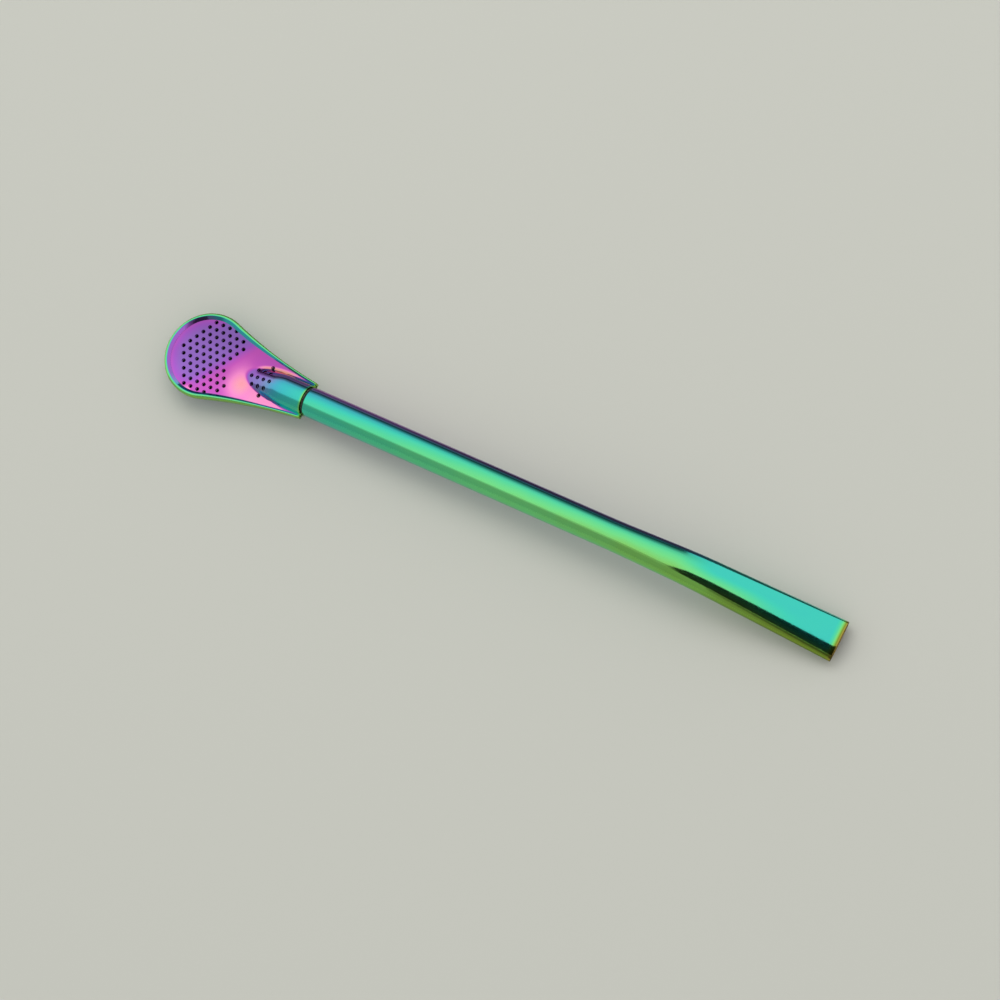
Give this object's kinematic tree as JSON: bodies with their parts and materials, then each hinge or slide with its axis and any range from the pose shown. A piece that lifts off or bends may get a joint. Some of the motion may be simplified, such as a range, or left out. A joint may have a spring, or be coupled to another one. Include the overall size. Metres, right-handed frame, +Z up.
{
  "type": "spoon bombilla",
  "caption": "Metal drinking straw for mate with a spoon-shaped strainer that unscrews from its lower end and an oval mouth on its bent upper end.",
  "frame": {"origin": "middle of the flat belly of the spoon, on the surface that the bombilla lies on", "axes": "+X along the straw towards the mouth, +Z up with the strainer facing up"},
  "size_m": [0.1757, 0.021, 0.0122],
  "materials": {
    "coated_sheet": "mirror-polished stainless steel with a rainbow oxide film",
    "coated_strainer": "mirror-polished stainless steel with a rainbow oxide film",
    "coated_tube": "mirror-polished stainless steel with a rainbow oxide film",
    "plain_steel": "turned stainless steel",
    "silicone": "matt silicone rubber"
  },
  "bodies": {
    "straw": {"straw_tube": "coated_tube", "screw_spigot": "plain_steel"},
    "washer": {"sealing_washer": "silicone"},
    "spoon": {"bowl_back": "coated_sheet", "strainer_plate": "coated_strainer", "neck_nut": "plain_steel"}
  },
  "joints": [
    {"name": "spoon_turn", "type": "hinge", "parent": "straw", "child": "washer", "pos_m": [0.0281, 0, 0.0056], "axis": [-0.9994, 0, -0.0349], "range_deg": [0, 1800]},
    {"name": "spoon_travel", "type": "slide", "parent": "washer", "child": "spoon", "axis": [-0.9994, 0, -0.0349], "range_m": [0, 0.005]}
  ],
  "couplings": [
    {"joint": "spoon_travel", "follows": "spoon_turn", "m_per_rad": 0.00015915}
  ]
}
